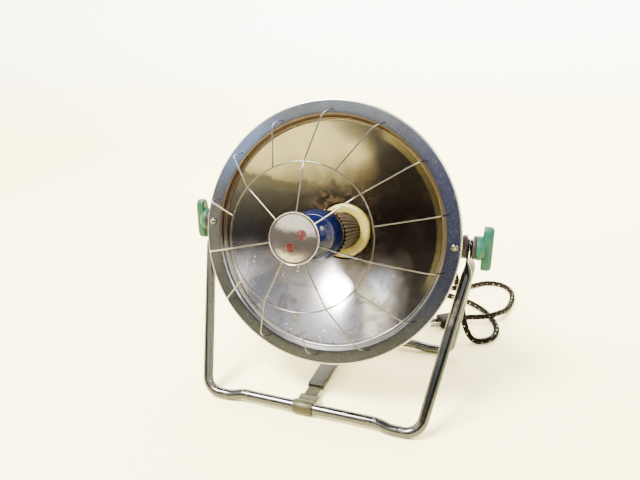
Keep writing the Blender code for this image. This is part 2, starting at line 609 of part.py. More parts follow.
# ---- the cord ----
def build_cord():
    """The cord falls from the bush to the floor behind the right legs, is wound into a coil behind the
    dish, and comes back in a loop to its plug."""
    bpy.context.view_layer.update()
    mouth = dish.matrix_world @ Vector((CORD_START + GAP, 0, -ENTRY_DEPTH)) - Vector((0, PIVOT_Y, 0))
    z = FLOOR_LINE
    from_lamp = [
        mouth, (0.0920, mouth.y + 0.0010, mouth.z - 0.0015), (0.1090, 0.0900, 0.1610),
        (0.1235, 0.1050, 0.1380), (0.1330, 0.1180, 0.1110), (0.1395, 0.1280, 0.0830),
        (0.1455, 0.1350, 0.0560), (0.1495, 0.1385, 0.0360), (0.1545, 0.1385, 0.0195),
        (0.1620, 0.1365, 0.0085), (0.1710, 0.1370, z), (0.1800, 0.1410, z), (0.1875, 0.1485, z),
        (0.1925, 0.1590, z), (0.1950, 0.1730, z), (0.1940, 0.1900, z), (0.1875, 0.2130, z),
        (0.1740, 0.2380, z), (0.1530, 0.2600, z), (0.1240, 0.2760, z), (0.0920, 0.2790, z),
        (0.0620, 0.2710, z), (0.0370, 0.2590, z), (0.0140, 0.2540, z),
    ]
    to_plug = [
        (0.0430, 0.2070, 0.0122), (0.0432, 0.2260, 0.0126), (0.0446, 0.2460, OVER),
        (0.0500, 0.2680, OVER), (0.0630, 0.2900, 0.0100), (0.0840, 0.3040, 0.0056),
        (0.1120, 0.3110, z), (0.1370, 0.3200, z), (0.1540, 0.3380, z), (0.1700, 0.3520, z),
        (0.1880, 0.3550, z), (0.2040, 0.3450, z), (0.2130, 0.3250, z), (0.2145, 0.2980, z),
        (0.2110, 0.2700, z), (0.2050, 0.2450, 0.0070), (0.1970, 0.2240, 0.0118),
        (0.1860, 0.2090, OVER), (0.1710, 0.2020, 0.0110),
    ]
    heading = Vector((math.cos(PLUG_HEADING), math.sin(PLUG_HEADING), 0))
    middle = Vector((*PLUG_MIDDLE, PLUG_HEIGHT))
    to_plug += [middle - heading * (PLUG_TAIL + 0.016), middle - heading * (PLUG_TAIL + GAP)]
    wire("cord_from_lamp", smooth_route(from_lamp, 0.0160), CORD, "braid", resolution=2, parent=ground)
    wire("cord_to_plug", smooth_route(to_plug, 0.0155), CORD, "braid", resolution=2, parent=ground)

    low, high = 0.0004, 0.0004 + 2 * COIL_HALF
    inner, outer = COIL_RADIUS - COIL_HALF, COIL_RADIUS + COIL_HALF
    edge = 0.003
    section = arc(outer - edge, high - edge, edge, 90, 0, 1)
    section += arc(outer - edge, low + edge, edge, 0, -90, 1)
    section += arc(inner + edge, low + edge, edge, -90, -180, 1)
    section += arc(inner + edge, high - edge, edge, 180, 90, 1)
    turned("cord_coil", section, "braid", segments=24, location=(*COIL_MIDDLE, 0), parent=ground)

    where = dict(parent=ground, location=middle)
    flat = dict(rotation=(0, 0, PLUG_HEADING))
    plug = block("plug_body", (0.028, 0.024, 0.0156), "bakelite", bevel=0.0035, **flat, **where)
    taper = [(0, -0.010), (0.0074, -0.010), (0.0060, -PLUG_TAIL), (0, -PLUG_TAIL)]
    neck = turned("plug_neck", taper, None, segments=14, closed=False,
                  rotation=(0, math.pi / 2, PLUG_HEADING), **where)
    boolean(plug, neck, "UNION")
    aside = Vector((-heading.y, heading.x, 0))
    for name, side in (("plug_pin_left", -1), ("plug_pin_right", 1)):
        spot = middle + heading * (0.014 + GAP + 0.0085) + aside * side * 0.00635
        block(name, (0.0170, 0.0015, 0.0063), "brass", parent=ground, location=spot, **flat)


build_reflector()
build_band()
build_guard()
build_heat_source()
build_rear_cover()
build_cord_entry()
build_pivot(-1, "left")
build_pivot(1, "right")
build_frame("front_frame", FRONT_HALF, FRONT_EYE, front_plane)
build_frame("rear_frame", REAR_HALF, REAR_EYE, rear_plane)
build_spreader()
build_cord()
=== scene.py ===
"""The heat lamp's looks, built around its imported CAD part: fine shapes, finishes, cord, floor and light."""

import json
import math
import random

import bmesh
import bpy
from mathutils import Matrix, Vector


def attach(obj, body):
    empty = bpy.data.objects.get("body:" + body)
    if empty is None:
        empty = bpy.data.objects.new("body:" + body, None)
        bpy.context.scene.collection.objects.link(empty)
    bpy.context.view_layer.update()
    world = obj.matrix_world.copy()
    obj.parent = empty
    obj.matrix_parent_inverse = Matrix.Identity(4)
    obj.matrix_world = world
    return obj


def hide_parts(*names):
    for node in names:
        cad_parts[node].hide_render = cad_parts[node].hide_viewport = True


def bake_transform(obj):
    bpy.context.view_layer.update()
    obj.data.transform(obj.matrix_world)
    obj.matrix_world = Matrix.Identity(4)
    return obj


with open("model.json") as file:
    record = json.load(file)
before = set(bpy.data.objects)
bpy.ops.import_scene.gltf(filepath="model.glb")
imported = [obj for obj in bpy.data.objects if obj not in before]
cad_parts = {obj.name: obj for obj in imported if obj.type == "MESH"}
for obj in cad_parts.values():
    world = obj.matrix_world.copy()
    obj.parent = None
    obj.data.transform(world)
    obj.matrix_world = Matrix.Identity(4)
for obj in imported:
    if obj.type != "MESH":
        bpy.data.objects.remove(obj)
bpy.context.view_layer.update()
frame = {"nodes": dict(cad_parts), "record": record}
NODES = frame["nodes"]

# ---- the lamp's dimensions, in metres ----
PIVOT = Vector((0, 0.0134, 0.191))
TILT = math.radians(14.7)
FACE_AHEAD = 0.0306
LEG, LEAN = 0.207597, 0.466664
HEAD = Matrix.Translation(PIVOT) @ Matrix.Rotation(math.pi / 2 - TILT, 4, "X")
DISH = HEAD @ Matrix.Translation((0, 0, FACE_AHEAD))
GROUND = Matrix.Translation((0, PIVOT.y, 0))
GAP = 0.0003
QUARTER_TURN = Matrix.Rotation(math.pi / 2, 4, "Y")
BAR_RISE = 0.004  # how much higher a floor bar's middle runs than its feet
CORD_RADIUS = 0.0040
BUSH_END, BUSH_BACK = 0.0780, -0.108  # where the cord leaves the cover: across, and behind the band's face
BAND_SCREW_REACH = 0.1425
GUARD_WIRE = 0.00075
GUARD_RING_RADIUS, GUARD_RING_AHEAD = 0.0749, 0.0826

# ---- how finely round things are cut ----
DISH_SEGMENTS = 224
WIRE_SIDES = 14

# ---- camera ----
YAW, PITCH = math.radians(19.2), math.radians(19.27)
CAMERA_SPOT = (0.1891, -0.5778, 0.3982)
FOCAL_MM, SENSOR_MM = 31.22, 36
camera_data = bpy.data.cameras.new("camera")
camera_data.lens = FOCAL_MM
camera_data.sensor_width = SENSOR_MM
camera = bpy.data.objects.new("camera", camera_data)
bpy.context.scene.collection.objects.link(camera)
camera.location = CAMERA_SPOT
camera.rotation_euler = (math.pi / 2 - PITCH, 0, YAW)
bpy.context.scene.camera = camera


# ---- node helpers ----
class Finish:
    """A procedural material, built from a few layers on one Principled shader."""

    def __init__(self, name, colour, roughness, metallic=0.0, space="Object"):
        self.material = bpy.data.materials.new(name)
        self.material.use_nodes = True
        self.tree = self.material.node_tree
        self.shader = self.tree.nodes["Principled BSDF"]
        self.shader.inputs["Metallic"].default_value = metallic
        place = self.tree.nodes.new("ShaderNodeTexCoord")
        self.place = place.outputs["Object" if space == "Dish" else space]
        if space == "Dish":  # across, up and forward along the beam, from the middle of the band's face
            turn = self.tree.nodes.new("ShaderNodeMapping")
            turn.inputs["Location"].default_value = DISH.inverted().translation
            turn.inputs["Rotation"].default_value = DISH.inverted().to_euler()
            self.link(self.place, turn.inputs["Vector"])
            self.place = turn.outputs[0]
        self.height = None
        self.colour = self.rgb(colour)
        self.roughness = self.value(roughness)
        self.axes = None

    def link(self, source, target):
        if isinstance(source, (int, float)):
            target.default_value = source
        elif isinstance(source, tuple):
            target.default_value = source if len(source) != 3 or target.type == "VECTOR" else (*source, 1)
        else:
            self.tree.links.new(source, target)

    def rgb(self, colour):
        node = self.tree.nodes.new("ShaderNodeRGB")
        node.outputs[0].default_value = (*colour, 1)
        return node.outputs[0]

    def value(self, number):
        node = self.tree.nodes.new("ShaderNodeValue")
        node.outputs[0].default_value = number
        return node.outputs[0]

    def math(self, operation, a, b=0.0, c=0.0, clamp=False):
        node = self.tree.nodes.new("ShaderNodeMath")
        node.operation = operation
        node.use_clamp = clamp
        for given, socket in zip((a, b, c), node.inputs):
            self.link(given, socket)
        return node.outputs[0]

    def times(self, product, *factors):
        for factor in factors:
            product = self.math("MULTIPLY", product, factor)
        return product

    def xyz(self):
        if self.axes is None:
            node = self.tree.nodes.new("ShaderNodeSeparateXYZ")
            self.link(self.place, node.inputs[0])
            self.axes = node.outputs
        return self.axes

    def stretched(self, scale=(1, 1, 1)):
        node = self.tree.nodes.new("ShaderNodeMapping")
        self.link(self.place, node.inputs["Vector"])
        node.inputs["Scale"].default_value = scale
        return node.outputs[0]

    def noise(self, scale, detail=4.0, rough=0.55, stretch=(1, 1, 1), distortion=0.0):
        node = self.tree.nodes.new("ShaderNodeTexNoise")
        self.link(self.stretched(stretch), node.inputs["Vector"])
        node.inputs["Scale"].default_value = scale
        node.inputs["Detail"].default_value = detail
        node.inputs["Roughness"].default_value = rough
        node.inputs["Distortion"].default_value = distortion
        return node.outputs[0]

    def cells(self, scale):
        """The distance to the nearest of many scattered points."""
        node = self.tree.nodes.new("ShaderNodeTexVoronoi")
        self.link(self.stretched(), node.inputs["Vector"])
        node.inputs["Scale"].default_value = scale
        return node.outputs["Distance"]

    def ramp(self, source, low, high, flip=False):
        """0 below low and 1 above high, the other way round when flipped."""
        node = self.tree.nodes.new("ShaderNodeMapRange")
        node.interpolation_type = "SMOOTHSTEP"
        self.link(source, node.inputs["Value"])
        node.inputs["From Min"].default_value = low
        node.inputs["From Max"].default_value = high
        node.inputs["To Min"].default_value = 1.0 if flip else 0.0
        node.inputs["To Max"].default_value = 0.0 if flip else 1.0
        return node.outputs[0]

    def near(self, spot, inner, outer):
        """1 within inner of the spot, 0 beyond outer."""
        node = self.tree.nodes.new("ShaderNodeVectorMath")
        node.operation = "DISTANCE"
        self.link(self.place, node.inputs[0])
        node.inputs[1].default_value = spot
        return self.ramp(node.outputs["Value"], inner, outer, flip=True)

    def paint(self, mask, colour, roughness=None):
        """Lays a colour, and a roughness if one is given, over what is there."""
        node = self.tree.nodes.new("ShaderNodeMix")
        node.data_type = "RGBA"
        self.link(mask, node.inputs[0])
        self.link(self.colour, node.inputs[6])
        self.link(colour, node.inputs[7])
        self.colour = node.outputs[2]
        if roughness is not None:
            rough = self.tree.nodes.new("ShaderNodeMix")
            self.link(mask, rough.inputs[0])
            self.link(self.roughness, rough.inputs[2])
            self.link(roughness, rough.inputs[3])
            self.roughness = rough.outputs[0]

    def vary(self, source, amount):
        """Lightens and darkens the colour by a share, as the source goes from 0 to 1."""
        node = self.tree.nodes.new("ShaderNodeHueSaturation")
        self.link(self.colour, node.inputs["Color"])
        self.link(self.math("MULTIPLY_ADD", source, 2 * amount, 1 - amount), node.inputs["Value"])
        self.colour = node.outputs[0]

    def roughen(self, source, amount):
        self.roughness = self.math("MULTIPLY_ADD", source, amount, self.roughness, clamp=True)

    def relief(self, source, depth):
        """Raises the surface by depth metres where the source is 1."""
        raised = self.times(source, depth)
        self.height = raised if self.height is None else self.math("ADD", self.height, raised)

    def done(self, **constants):
        self.link(self.colour, self.shader.inputs["Base Color"])
        self.link(self.roughness, self.shader.inputs["Roughness"])
        if self.height is not None:
            bump = self.tree.nodes.new("ShaderNodeBump")
            bump.inputs["Distance"].default_value = 1.0
            self.link(self.height, bump.inputs["Height"])
            self.link(bump.outputs[0], self.shader.inputs["Normal"])
        for name, number in constants.items():
            self.shader.inputs[name.replace("_", " ")].default_value = number
        return self.material


# ---- shape helpers ----
def new_object(name, verts, faces, place, smooth=40, loops_uv=None):
    """A welded, smooth-shaded mesh object, sharp where its faces meet at more than so many degrees."""
    mesh = bpy.data.meshes.new(name)
    mesh.from_pydata([tuple(v) for v in verts], [], faces)
    if loops_uv:
        layer = mesh.uv_layers.new(name="along")
        for loop, uv in zip(layer.data, loops_uv):
            loop.uv = uv
    bm = bmesh.new()
    bm.from_mesh(mesh)
    bmesh.ops.remove_doubles(bm, verts=bm.verts, dist=0.000002)
    bmesh.ops.recalc_face_normals(bm, faces=bm.faces)
    bm.to_mesh(mesh)
    bm.free()
    mesh.shade_smooth()
    mesh.set_sharp_from_angle(angle=math.radians(smooth))
    made = bpy.data.objects.new(name, mesh)
    bpy.context.scene.collection.objects.link(made)
    made.matrix_world = place
    return made


def lathe(name, profile, place, segments=96, closed=True, smooth=40):
    """A profile of (radius, height) turned about Z. It stays open between its ends when not closed."""
    verts, faces = [], []
    count = len(profile)
    for k in range(segments):
        angle = k * math.tau / segments
        verts += [(r * math.cos(angle), r * math.sin(angle), z) for r, z in profile]
    for k in range(segments):
        here, there = k * count, (k + 1) % segments * count
        for i in range(count if closed else count - 1):
            j = (i + 1) % count
            quad = [here + i, there + i, there + j, here + j]
            if profile[i][0] < 1e-7:
                quad.remove(there + i)
            if profile[j][0] < 1e-7 and there + j in quad:
                quad.remove(there + j)
            if len(quad) > 2:
                faces.append(quad)
    return new_object(name, verts, faces, place, smooth)


def ease(t):
    """0 to 1 as t goes from 0 to 1, level at both ends."""
    return t * t * (3 - 2 * t)


def arc(r, z, radius, start, end, steps=6):
    """Points on an arc in a lathe's profile, from one angle to another in degrees."""
    angles = [math.radians(start + (end - start) * k / steps) for k in range(steps + 1)]
    return [(r + radius * math.cos(a), z + radius * math.sin(a)) for a in angles]


def tube_rings(points, radius, sides, closed=False):
    """Rings of vertices round a path, with no twist. The radius is a number or one for each point."""
    points = [Vector(p) for p in points]
    count = len(points)
    rings = []
    side = None
    for i, p in enumerate(points):
        before = points[i - 1] if i or closed else p
        after = points[(i + 1) % count] if i + 1 < count or closed else p
        along = (after - before).normalized()
        if side is None:
            side = along.orthogonal().normalized()
        side = (side - along * side.dot(along)).normalized()
        up = along.cross(side)
        r = radius[i] if isinstance(radius, list) else radius
        rings.append([p + r * (side * math.cos(k * math.tau / sides) + up * math.sin(k * math.tau / sides))
                      for k in range(sides)])
    return rings


def skin(name, rings, place, closed=False, smooth=50, along=None):
    """A surface over rings of equal length, with flat ends."""
    sides = len(rings[0])
    verts = [v for ring in rings for v in ring]
    faces, uvs = [], []
    for i in range(len(rings) if closed else len(rings) - 1):
        here, there = i * sides, (i + 1) % len(rings) * sides
        for k in range(sides):
            m = (k + 1) % sides
            faces.append([here + k, here + m, there + m, there + k])
            if along:
                a, b = along[i], along[i + 1]
                uvs += [(a, k / sides), (a, (k + 1) / sides), (b, (k + 1) / sides), (b, k / sides)]
    if not closed:
        faces += [list(range(sides))[::-1], [len(verts) - sides + k for k in range(sides)]]
        if along:
            uvs += [(0, 0)] * (2 * sides)
    return new_object(name, verts, faces, place, smooth, uvs if along else None)


def rounded_box(name, size, radius, place, segments=3):
    """A box of the given size with rounded edges and corners."""
    mesh = bpy.data.meshes.new(name)
    bm = bmesh.new()
    bmesh.ops.create_cube(bm, size=1.0)
    bmesh.ops.scale(bm, vec=size, verts=bm.verts)
    bmesh.ops.bevel(bm, geom=bm.edges[:] + bm.verts[:], offset=radius, segments=segments,
                    affect="EDGES", profile=0.5)
    bm.to_mesh(mesh)
    bm.free()
    mesh.shade_smooth()
    mesh.set_sharp_from_angle(angle=math.radians(50))
    made = bpy.data.objects.new(name, mesh)
    bpy.context.scene.collection.objects.link(made)
    made.matrix_world = place
    return made


def join(first, *others):
    """One object of several, in the first one's place."""
    bpy.context.view_layer.update()
    bm = bmesh.new()
    bm.from_mesh(first.data)
    back = first.matrix_world.inverted()
    for other in others:
        other.data.transform(back @ other.matrix_world)
        bm.from_mesh(other.data)
    bm.to_mesh(first.data)
    bm.free()
    for other in others:
        bpy.data.objects.remove(other, do_unlink=True)
    return first


def smooth_route(points, step):
    """Points about a step apart on a Catmull-Rom curve through the given points."""
    cuts = 24
    points = [Vector(p) for p in points]
    points = [2 * points[0] - points[1], *points, 2 * points[-1] - points[-2]]
    fine = []
    for before, a, b, after in zip(points, points[1:], points[2:], points[3:]):
        for k in range(cuts):
            t = k / cuts
            fine.append(0.5 * (2 * a + t * (b - before) + t * t * (2 * before - 5 * a + 4 * b - after)
                               + t ** 3 * (3 * a - before - 3 * b + after)))
    fine.append(points[-2])
    route, since = [fine[0]], 0.0
    for a, b in zip(fine, fine[1:]):
        since += (b - a).length
        if since >= step:
            route.append(b)
            since = 0.0
    if (route[-1] - fine[-1]).length < step / 2:
        route.pop()
    return route + [fine[-1]]


def piece(made, body, finish, slot, *nodes):
    """Gives a piece its finish, its body and the CAD nodes it stands for."""
    made.data.transform(made.matrix_world)
    made.matrix_world = Matrix.Identity(4)
    made.data.materials.clear()
    made.data.materials.append(finish)
    if body:
        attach(made, body)
    if nodes:
        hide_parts(*nodes)


# ---- finishes ----
def steel(name, colour, roughness, grime=0.35, speck=0.25):
    """Metal with faint clouds, patches of grime and small dark specks."""
    f = Finish(name, colour, roughness, 1.0)
    f.vary(f.noise(38, 5), 0.16)
    f.roughen(f.noise(140, 3), 0.10)
    f.paint(f.times(f.ramp(f.noise(70, 6, 0.65), 0.54, 0.72), grime), (0.10, 0.08, 0.06), 0.55)
    f.paint(f.times(f.ramp(f.cells(420), 0.10, 0.22, flip=True), speck), (0.05, 0.04, 0.035), 0.6)
    f.relief(f.noise(260, 2), 0.00002)
    return f


def make_mirror():
    """A mirror with reflections painted into its colour: tan at the top, slate on the left, dark on the right
    and brightest low down; its brown blotches round the collar and its pits are tarnish.
    """
    f = Finish("reflector", (0.105, 0.100, 0.106), 0.11, 1.0, space="Dish")
    x, y, z = f.xyz()
    ragged = f.math("MULTIPLY_ADD", f.noise(20, 6, 0.62, distortion=0.5), 0.056, -0.028)
    height = f.math("ADD", y, ragged)
    across = f.math("ADD", x, ragged)
    # Painted reflections: slate on the left and dark on the right.
    f.paint(f.times(f.ramp(across, -0.075, -0.015, flip=True), 0.85), (0.113, 0.113, 0.124), 0.18)
    f.paint(f.times(f.ramp(across, 0.010, 0.055), 0.85), (0.082, 0.076, 0.072), 0.20)
    # Painted reflection: tan at the top, over a painted dark band just beneath its ragged edge.
    top = f.times(f.ramp(height, 0.054, 0.060), f.ramp(across, 0.026, 0.048, flip=True))
    shade = f.times(f.ramp(height, 0.040, 0.052), f.ramp(height, 0.054, 0.060, flip=True))
    f.paint(f.times(shade, 0.80), (0.075, 0.065, 0.052), 0.24)
    f.paint(f.times(top, 0.92), (0.26, 0.235, 0.165), 0.16)
    # Painted reflection: a bright, near-white mirror colour low down.
    low = f.times(f.ramp(height, -0.048, -0.014, flip=True), f.ramp(across, 0.060, 0.100, flip=True))
    f.paint(f.times(low, 0.88), (0.88, 0.87, 0.91), 0.17)
    streaks = f.ramp(f.noise(24, 5, 0.6, distortion=1.6), 0.50, 0.60)
    f.paint(f.times(streaks, low, 0.55), (0.27, 0.22, 0.20), 0.20)
    around_collar = f.near((0.006, 0.010, -0.070), 0.034, 0.066)
    blotch = f.times(f.ramp(f.noise(70, 6, 0.65, distortion=0.8), 0.46, 0.58), around_collar)
    f.paint(f.times(blotch, 0.60), (0.16, 0.095, 0.055), 0.34)
    # Painted reflection: a tan strip along the inner rim on the right.
    reach = f.math("SQRT", f.math("ADD", f.times(x, x), f.times(y, y)))
    rim = f.times(f.ramp(reach, 0.1205, 0.1225), f.ramp(across, 0.040, 0.065), f.ramp(height, -0.060, -0.030))
    f.paint(f.times(rim, 0.85), (0.40, 0.35, 0.17), 0.24)
    f.paint(f.times(f.ramp(f.noise(34, 6, 0.6), 0.52, 0.72), 0.30), (0.26, 0.24, 0.20), 0.24)
    f.vary(f.noise(9, 3, distortion=1.5), 0.22)
    pits = f.times(f.ramp(f.cells(110), 0.05, 0.17, flip=True), f.ramp(f.noise(45, 3), 0.50, 0.58))
    f.paint(f.times(pits, f.ramp(y, -0.060, -0.020, flip=True)), (0.03, 0.025, 0.02), 0.7)
    # Painted reflection on the inner wall by the rim: brown on its upper part and grey on its lower part,
    # with a thin painted highlight line low down.
    wall = f.ramp(z, -0.0105, -0.0098)
    upper, lower = f.ramp(y, -0.060, 0.000), f.ramp(y, -0.060, 0.000, flip=True)
    f.paint(f.times(wall, upper, 0.80), (0.10, 0.065, 0.045), 0.42)
    f.paint(f.times(wall, lower, 0.85), (0.10, 0.10, 0.108), 0.30)
    painted_highlight_line = f.times(wall, f.ramp(z, -0.0095, -0.0090, flip=True))
    f.paint(f.times(painted_highlight_line, lower, 0.85), (0.85, 0.85, 0.86), 0.30)
    f.relief(f.noise(11, 2, distortion=0.4), 0.0006)
    f.relief(f.noise(55, 2), 0.00003)
    return f.done()


def make_band():
    """Dull chrome with painted reflections, shade and highlight: a blue painted reflection at the upper left,
    navy on the right, painted shade low down, a painted highlight on the paler outer edge and a paler painted
    reflection on the skirt.
    """
    f = Finish("band", (0.062, 0.068, 0.085), 0.26, 1.0, space="Dish")
    x, y, z = f.xyz()
    f.vary(f.noise(30, 5), 0.25)
    # Painted reflection: blue at the upper left.
    f.paint(f.times(f.near((-0.118, 0.092, 0), 0.01, 0.075), 0.50), (0.15, 0.22, 0.44))
    f.paint(f.times(f.near((-0.145, -0.02, 0), 0.01, 0.08), 0.35), (0.20, 0.20, 0.17))
    # Painted reflection: dark navy on the right.
    f.paint(f.times(f.near((0.130, 0.015, 0), 0.04, 0.15), 0.85), (0.026, 0.030, 0.066))
    # Painted shade: darker low down.
    f.paint(f.times(f.ramp(y, -0.110, -0.050, flip=True), 0.75), (0.042, 0.044, 0.050))
    f.roughen(f.noise(90, 4), 0.14)
    f.paint(f.times(f.ramp(f.noise(120, 6, 0.7), 0.56, 0.70), 0.5), (0.08, 0.08, 0.08), 0.5)
    f.paint(f.times(f.ramp(f.cells(520), 0.12, 0.24, flip=True), 0.18), (0.50, 0.54, 0.60), 0.3)
    # Painted highlight: a pale line round the outer edge.
    edge = f.ramp(f.math("ADD", f.times(x, x), f.times(y, y)), 0.1480 ** 2, 0.1486 ** 2)
    f.paint(f.times(edge, 0.70), (0.60, 0.58, 0.52), 0.15)
    # Painted reflection: the rolled skirt paler than the face.
    skirt = f.ramp(z, -0.0030, -0.0016, flip=True)
    f.paint(f.times(skirt, 0.60), (0.50, 0.48, 0.42), 0.16)
    f.relief(f.noise(48, 3), 0.00016)
    return f.done()


def make_tube(name):
    """Chromed tube, a little rusty near the floor, with painted shade making it darker on the right legs."""
    f = steel(name, (0.078, 0.080, 0.083), 0.09, grime=0.12, speck=0.2)
    x, _, z = f.xyz()
    rust = f.times(f.ramp(z, 0.014, 0.040, flip=True), f.ramp(f.noise(110, 6, 0.7), 0.54, 0.64))
    f.paint(f.times(rust, 0.55), (0.16, 0.10, 0.06), 0.6)
    # Painted shade: the legs on the right darker.
    right_legs = f.times(f.ramp(x, 0.09, 0.13), f.ramp(z, 0.02, 0.06))
    f.paint(f.times(right_legs, 0.75), (0.020, 0.023, 0.033))
    f.paint(f.times(f.ramp(f.noise(26, 4), 0.60, 0.70), 0.30), (0.34, 0.32, 0.30), 0.30)
    return f.done()


def make_porcelain():
    """Yellowed glaze, faintly ribbed round its front, stained on its lower right."""
    f = Finish("porcelain", (0.25, 0.205, 0.042), 0.22, space="Dish")
    x, y, _ = f.xyz()
    ribs = 48
    f.vary(f.noise(60, 4), 0.12)
    stained = f.near((0.022, -0.020, -0.071), 0.006, 0.026)
    f.paint(f.times(stained, f.ramp(f.noise(110, 6, 0.7), 0.46, 0.60)), (0.17, 0.11, 0.035), 0.4)
    f.paint(f.times(f.ramp(f.noise(90, 6, 0.7), 0.58, 0.70), 0.40), (0.28, 0.21, 0.06), 0.4)
    f.paint(f.ramp(f.cells(500), 0.08, 0.16, flip=True), (0.30, 0.20, 0.10), 0.5)
    f.relief(f.math("SINE", f.times(f.math("ARCTAN2", y, x), ribs)), 0.00012)
    f.relief(f.noise(80, 2), 0.00005)
    return f.done(Coat_Weight=0.25, Coat_Roughness=0.1)


def make_sleeve():
    """Near-black maroon sleeving with crossing rows of tan dots."""
    f = Finish("sleeving", (0.007, 0.0035, 0.003), 0.80, space="Dish")
    x, y, z = f.xyz()
    turn = f.math("ARCTAN2", y, x)
    around = 19
    rows = f.times(z, 560)
    one = f.math("SINE", f.math("MULTIPLY_ADD", turn, around, rows))
    two = f.math("SINE", f.math("SUBTRACT", f.times(turn, around), rows))
    dots = f.ramp(f.times(one, two), 0.36, 0.62)
    f.vary(f.noise(150, 4), 0.35)
    f.paint(f.times(dots, 0.95), (0.20, 0.145, 0.075))
    f.relief(dots, 0.0002)
    f.relief(f.noise(500, 2), 0.0001)
    return f.done(Specular_IOR_Level=0.15)


def make_bulb():
    """Deep blue glass with a little dust."""
    f = Finish("blue_glass", (0.0012, 0.0025, 0.020), 0.05)
    f.vary(f.noise(30, 4), 0.25)
    f.paint(f.times(f.ramp(f.noise(160, 5, 0.7), 0.56, 0.70), 0.25), (0.03, 0.04, 0.10), 0.30)
    f.relief(f.noise(22, 2), 0.0002)
    return f.done(Coat_Weight=0.08, Coat_Roughness=0.03, Specular_IOR_Level=0.20)


def make_plastic(name, colour, roughness=0.34, shine=0.32):
    """Worn plastic or rubber, with faint streaks, dusty patches and small specks."""
    f = Finish(name, colour, roughness)
    f.vary(f.noise(40, 5, distortion=1.2), 0.10)
    f.roughen(f.noise(120, 3), 0.12)
    dusty = tuple(0.5 * c + 0.02 for c in colour)
    f.paint(f.times(f.ramp(f.noise(75, 6, 0.7), 0.58, 0.72), 0.30), dusty, 0.5)
    f.paint(f.times(f.ramp(f.cells(330), 0.06, 0.13, flip=True), 0.5), (0.06, 0.07, 0.05), 0.6)
    f.relief(f.noise(90, 2), 0.00006)
    return f.done(Specular_IOR_Level=shine)


def make_fibre():
    """Dark pressed fibre with paler streaks."""
    f = Finish("fibre", (0.013, 0.008, 0.008), 0.50)
    f.vary(f.noise(200, 4, stretch=(1, 1, 0.2)), 0.4)
    f.paint(f.times(f.ramp(f.noise(160, 5), 0.55, 0.68), 0.4), (0.085, 0.045, 0.040))
    f.relief(f.noise(400, 2), 0.00008)
    return f.done(Specular_IOR_Level=0.25)


def make_braid():
    """Braided cloth: black threads with small pale and pinkish flecks where the tracer threads cross."""
    f = Finish("braid", (0.003, 0.0024, 0.002), 0.92, space="UV")
    u, v, _ = f.xyz()

    def threads(around, along):
        """The threads that wind one way: so many round the cord, and so many turns a metre."""
        return f.math("SINE", f.times(f.math("MULTIPLY_ADD", v, around, along), math.tau))

    tracers, fine = f.times(u, 85), f.times(u, 620)
    left, right = threads(2, tracers), threads(-2, tracers)
    weave = f.math("MAXIMUM", threads(11, fine), threads(-11, fine))
    patchy = f.ramp(f.noise(150, 3, stretch=(1, 0.03, 1)), 0.42, 0.56)
    pale = f.times(f.ramp(f.math("MINIMUM", left, right), 0.55, 0.72), patchy)
    pink = f.ramp(f.math("MAXIMUM", left, right), -0.84, -0.72, flip=True)
    f.vary(f.noise(900, 3), 0.4)
    f.paint(f.times(pale, 0.90), (0.34, 0.30, 0.22))
    f.paint(f.times(pink, 0.45), (0.10, 0.052, 0.040))
    f.vary(f.ramp(weave, -0.5, 0.6), 0.35)
    f.relief(weave, 0.00012)
    return f.done(Specular_IOR_Level=0.05)


CHROME = steel("chrome_wire", (0.095, 0.092, 0.083), 0.08, grime=0.35, speck=0.4).done()
TUBE = make_tube("chrome_tube")
DULL = steel("dull_steel", (0.27, 0.265, 0.25), 0.36, grime=0.5).done()
DARK = steel("dark_steel", (0.042, 0.042, 0.040), 0.38, grime=0.6).done()
ZINC = steel("old_zinc", (0.055, 0.052, 0.034), 0.46, grime=0.5).done()
BRASS = steel("brass", (0.62, 0.46, 0.20), 0.32, grime=0.4).done()
TUNGSTEN = steel("tungsten", (0.30, 0.30, 0.32), 0.35, grime=0.1).done()
MIRROR, BAND, PORCELAIN, SLEEVE = make_mirror(), make_band(), make_porcelain(), make_sleeve()
BULB, FIBRE, BRAID = make_bulb(), make_fibre(), make_braid()
GREEN_RIGHT = make_plastic("green_plastic_right", (0.004, 0.052, 0.034), shine=0.22)
GREEN_LEFT = make_plastic("green_plastic_left", (0.008, 0.050, 0.022), shine=0.22)
RUBBER = make_plastic("rubber", (0.005, 0.004, 0.004), 0.60, shine=0.12)


# ---- the cord ----
COIL = Vector((-0.012, 0.205, 0))
HEADING = math.radians(217)
PLUG = Vector((0.124, 0.178, 0.0086))
PLUG_LENGTH, PIN_LENGTH, NECK_END = 0.028, 0.0170, 0.018
ON_FLOOR, OVER_CORD = 0.0043, 0.0128  # heights of the cord's middle


def coil_route():
    """Two layers of nearly two turns each, in from the back and out on the right."""
    z = ON_FLOOR
    keys = [  # degrees, radius, height
        (62, 0.0554, z), (110, 0.0510, z), (160, 0.0461, z), (395, 0.0460, z),
        (450, 0.0379, z), (755, 0.0379, z), (800, 0.0379, 0.0075), (850, 0.0379, 0.0124),
        (1105, 0.0379, 0.0125), (1160, 0.0460, 0.0125), (1395, 0.0460, 0.0125), (1438, 0.0540, 0.0123),
    ]
    route = []
    for (a, ra, za), (b, rb, zb) in zip(keys, keys[1:]):
        steps = max(1, round((b - a) / 7))
        for k in range(steps):
            t = ease(k / steps)
            angle = math.radians(a + (b - a) * k / steps)
            r, z = ra + (rb - ra) * t, za + (zb - za) * t
            route.append(COIL + Vector((r * math.cos(angle), r * math.sin(angle), z)))
    return route


